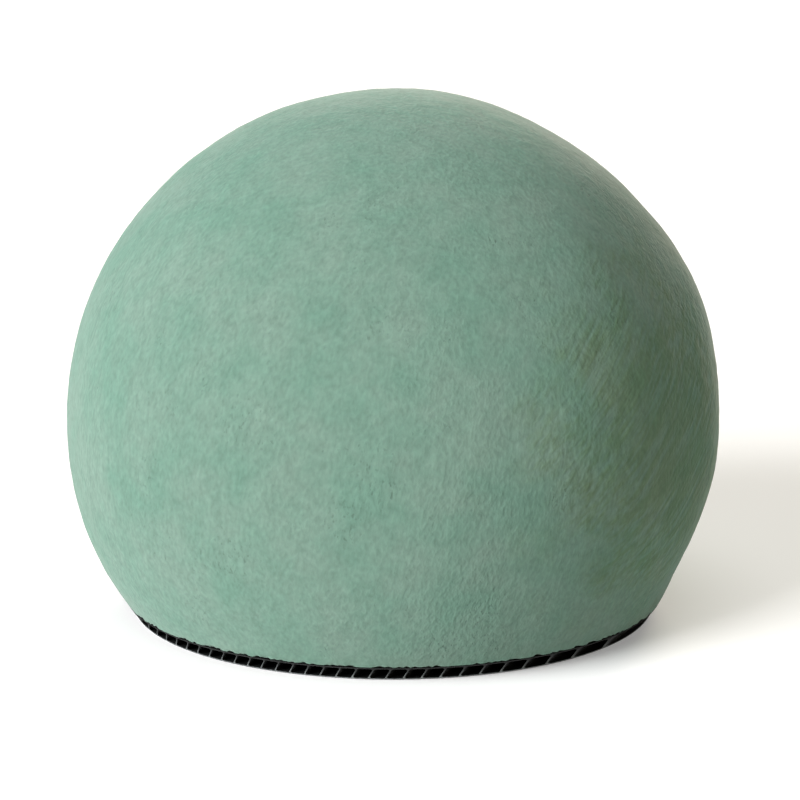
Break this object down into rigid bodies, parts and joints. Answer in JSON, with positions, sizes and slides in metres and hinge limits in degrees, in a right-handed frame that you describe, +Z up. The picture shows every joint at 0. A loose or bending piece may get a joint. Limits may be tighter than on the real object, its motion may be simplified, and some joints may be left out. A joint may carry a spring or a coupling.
{
  "type": "floral foam ball",
  "caption": "Ball of green wet floral foam, cut flat underneath and bonded to a thin black fluted board base, for arranging fresh flowers in the round.",
  "frame": {"origin": "centre of the base board's underside, on the surface that the ball stands on", "axes": "+Z up through the ball's centre and its crown; +X to the right and +Y away, as the ball is looked at from in front; the board's flutes run 66.5 degrees anticlockwise from +X"},
  "size_m": [0.23, 0.23, 0.184],
  "materials": {
    "wet_foam": "dry, velvety, fine open cells",
    "black_board": "semi-matt extruded polypropylene, paler at the cut edge",
    "hot_melt_glue": "smooth, slightly milky"
  },
  "bodies": {
    "root": {"foam_ball": "wet_foam", "base_board": "black_board", "glue_ring_outer": "hot_melt_glue", "glue_ring_middle": "hot_melt_glue", "glue_ring_inner": "hot_melt_glue", "glue_dab_centre": "hot_melt_glue"}
  },
  "joints": []
}
